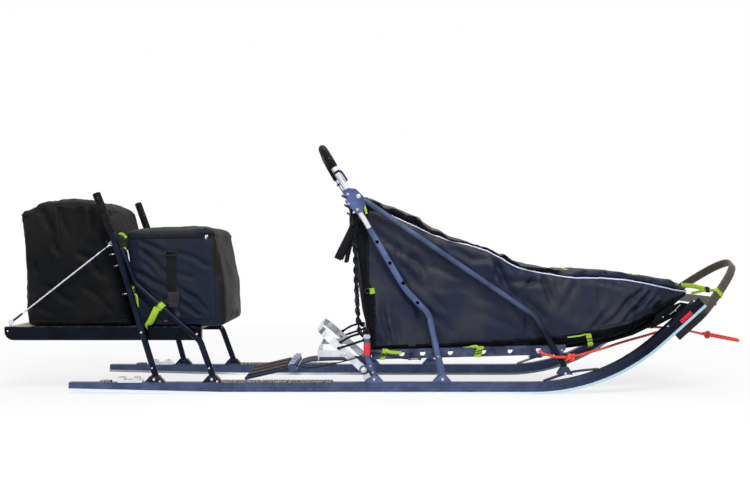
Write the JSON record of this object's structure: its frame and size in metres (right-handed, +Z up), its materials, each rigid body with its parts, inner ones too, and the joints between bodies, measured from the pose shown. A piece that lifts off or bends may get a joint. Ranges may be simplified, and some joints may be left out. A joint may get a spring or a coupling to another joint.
{
  "type": "dog sled",
  "caption": "Tube and rail dog sled with turned-up runners, cargo bag, driver's handlebar, sprung claw brake, drag mat and a second seat with bags on the tails.",
  "frame": {"origin": "on the ground in the plane of symmetry, midway between the rear end of the seat platform and the loop of the bridle", "axes": "+X forwards towards the brush bow, +Y to the driver's left, +Z up"},
  "size_m": [3.0739, 0.6032, 1.0072],
  "materials": {
    "rail": "dark blue grey anodised aluminium extrusion",
    "tube": "blue grey anodised aluminium tube",
    "silver": "bare satin aluminium",
    "base_plastic": "pale blue runner plastic",
    "black_plastic": "black sheet plastic",
    "bow_plastic": "brown grey strip plastic",
    "fabric": "black coated bag fabric",
    "pad": "dark granular rubber",
    "mat_rubber": "dark ribbed rubber",
    "foam": "black foam sleeve",
    "wood": "pale varnished plywood",
    "rope": "red braided rope"
  },
  "bodies": {
    "sled": {"basket_bed": "black_plastic", "basket_rail_far": "tube", "basket_rail_near": "tube", "bow_cross_strip": "bow_plastic", "brake_shaft": "silver", "bridle": "rope", "brush_bow": "bow_plastic", "cargo_bag": "fabric", "cross_bar_front": "rail", "cross_bar_mid": "rail", "cross_bar_rear": "rail", "foot_pad_far": "pad", "foot_pad_near": "pad", "front_bag": "fabric", "front_leaf_far": "rail", "front_leaf_near": "rail", "front_leg_far": "tube", "front_leg_near": "tube", "front_strut_far": "tube", "front_strut_near": "tube", "gusset_far": "tube", "gusset_near": "tube", "mat_tongue": "mat_rubber", "mid_upright_far": "tube", "mid_upright_near": "tube", "pivot_plate_far": "tube", "pivot_plate_near": "tube", "platform_bar_front": "rail", "platform_bar_rear": "rail", "platform_deck": "wood", "platform_side_far": "tube", "platform_side_near": "tube", "post_grip_far": "foam", "post_grip_near": "foam", "rear_bag": "fabric", "rear_leg_far": "tube", "rear_leg_near": "tube", "rear_upright_far": "tube", "rear_upright_near": "tube", "runner_base_far": "base_plastic", "runner_base_near": "base_plastic", "runner_rail_far": "rail", "runner_rail_near": "rail", "seat_stay_far": "silver", "seat_stay_near": "silver", "tail_clamp_far": "silver", "tail_clamp_near": "silver", "tail_pad_far": "pad", "tail_pad_near": "pad"},
    "brake": {"brake_bow": "silver", "brake_claw": "silver"},
    "mat": {"drag_mat": "mat_rubber", "mat_clamp": "tube"},
    "handlebar": {"handlebar_bow": "silver", "handlebar_grip": "foam"}
  },
  "joints": [
    {"name": "brake_hinge", "type": "hinge", "parent": "sled", "child": "brake", "pos_m": [-0.092, 0, 0.093], "axis": [0, -1, 0], "range_deg": [0, 38], "stiffness_Nm_per_rad": 6, "springref_deg": -34.38, "deforming": ["mat_tongue"]},
    {"name": "mat_hinge", "type": "hinge", "parent": "sled", "child": "mat", "pos_m": [-0.365, 0, 0.0925], "axis": [0, 1, 0], "range_deg": [-8, 40]},
    {"name": "handlebar_slide", "type": "slide", "parent": "sled", "child": "handlebar", "axis": [-0.5045, 0, 0.8634], "range_m": [-0.05, 0.1]}
  ]
}
